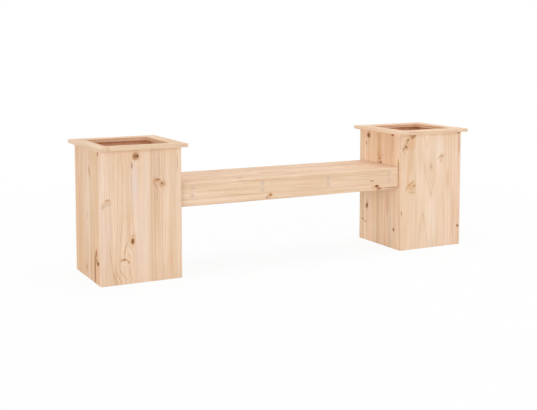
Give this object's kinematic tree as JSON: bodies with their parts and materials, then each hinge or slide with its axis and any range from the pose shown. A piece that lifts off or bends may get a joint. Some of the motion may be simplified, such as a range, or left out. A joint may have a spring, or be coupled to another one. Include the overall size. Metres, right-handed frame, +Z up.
{
  "type": "planter bench",
  "caption": "Wooden garden bench whose box seat spans two square planter boxes with flat overhanging rims.",
  "frame": {"origin": "on the ground, in the middle of the footprint", "axes": "+X along the seat, +Y to the back, +Z up"},
  "size_m": [1.845, 0.395, 0.565],
  "materials": {
    "pine": "planed, untreated",
    "steel": "zinc plated"
  },
  "bodies": {
    "root": {"back_lower_screw_1": "steel", "back_lower_screw_2": "steel", "back_lower_screw_3": "steel", "back_lower_screw_4": "steel", "back_upper_screw_1": "steel", "back_upper_screw_2": "steel", "back_upper_screw_3": "steel", "back_upper_screw_4": "steel", "front_lower_screw_1": "steel", "front_lower_screw_2": "steel", "front_lower_screw_3": "steel", "front_lower_screw_4": "steel", "front_upper_screw_1": "steel", "front_upper_screw_2": "steel", "front_upper_screw_3": "steel", "front_upper_screw_4": "steel", "left_back_inner_post": "pine", "left_back_outer_post": "pine", "left_floor_back_bearer": "pine", "left_floor_front_bearer": "pine", "left_floor_slat_1": "pine", "left_floor_slat_2": "pine", "left_floor_slat_3": "pine", "left_front_inner_post": "pine", "left_front_outer_post": "pine", "left_planter_back_wall": "pine", "left_planter_front_wall": "pine", "left_planter_inner_wall": "pine", "left_planter_outer_wall": "pine", "left_rim_back_board": "pine", "left_rim_front_board": "pine", "left_rim_inner_board": "pine", "left_rim_outer_board": "pine", "left_seat_bearer": "pine", "right_back_inner_post": "pine", "right_back_outer_post": "pine", "right_floor_back_bearer": "pine", "right_floor_front_bearer": "pine", "right_floor_slat_1": "pine", "right_floor_slat_2": "pine", "right_floor_slat_3": "pine", "right_front_inner_post": "pine", "right_front_outer_post": "pine", "right_planter_back_wall": "pine", "right_planter_front_wall": "pine", "right_planter_inner_wall": "pine", "right_planter_outer_wall": "pine", "right_rim_back_board": "pine", "right_rim_front_board": "pine", "right_rim_inner_board": "pine", "right_rim_outer_board": "pine", "right_seat_bearer": "pine", "seat_back_apron": "pine", "seat_batten_1": "pine", "seat_batten_2": "pine", "seat_batten_3": "pine", "seat_batten_4": "pine", "seat_front_apron": "pine", "seat_panel": "pine"}
  },
  "joints": []
}
